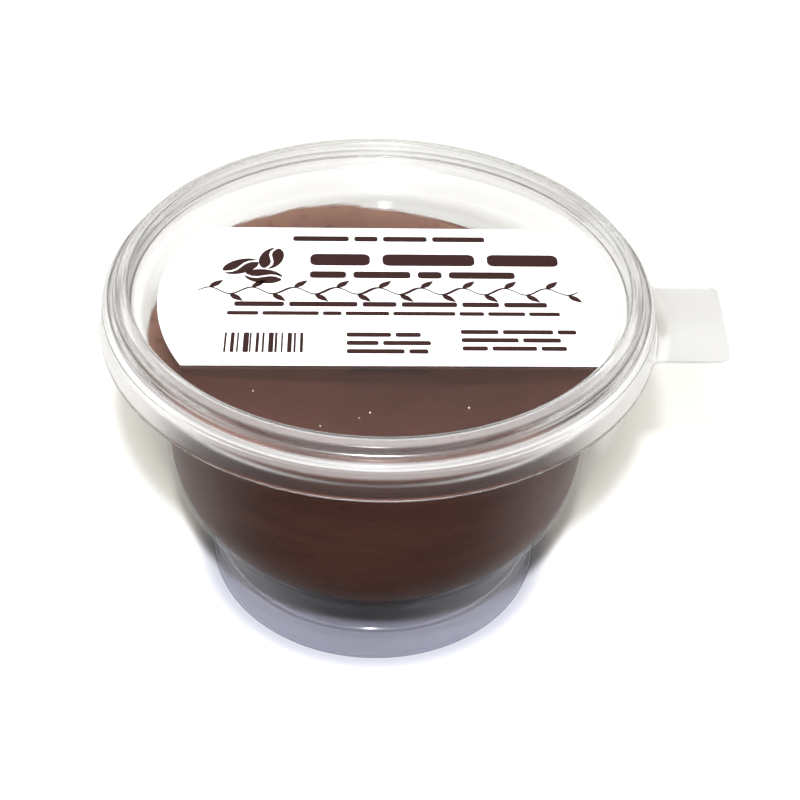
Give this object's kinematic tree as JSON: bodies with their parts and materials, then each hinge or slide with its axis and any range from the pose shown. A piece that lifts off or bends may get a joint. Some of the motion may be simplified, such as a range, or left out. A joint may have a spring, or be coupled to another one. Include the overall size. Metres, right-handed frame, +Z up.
{
  "type": "chocolate mousse in a clear lidded pot",
  "caption": "Smooth chocolate mousse filling a clear footed plastic pot, shut by a clear press-fit lid with a pull tab and a white paper label.",
  "frame": {"origin": "on the table, below the middle of the whole outline, tab included; the pot's own axis is 5.4 mm towards -X", "axes": "+Z up, the shortest extent; +X towards the end of the pull tab, the longest extent; +Y completes the frame"},
  "size_m": [0.1008, 0.09, 0.0603],
  "materials": {
    "pot": "clear glossy plastic",
    "mousse": null,
    "lid": "clear, faintly milky glossy plastic",
    "label": null
  },
  "bodies": {
    "root": {"pot": "pot", "mousse": "mousse", "lid": "lid", "label": "label"}
  },
  "joints": []
}
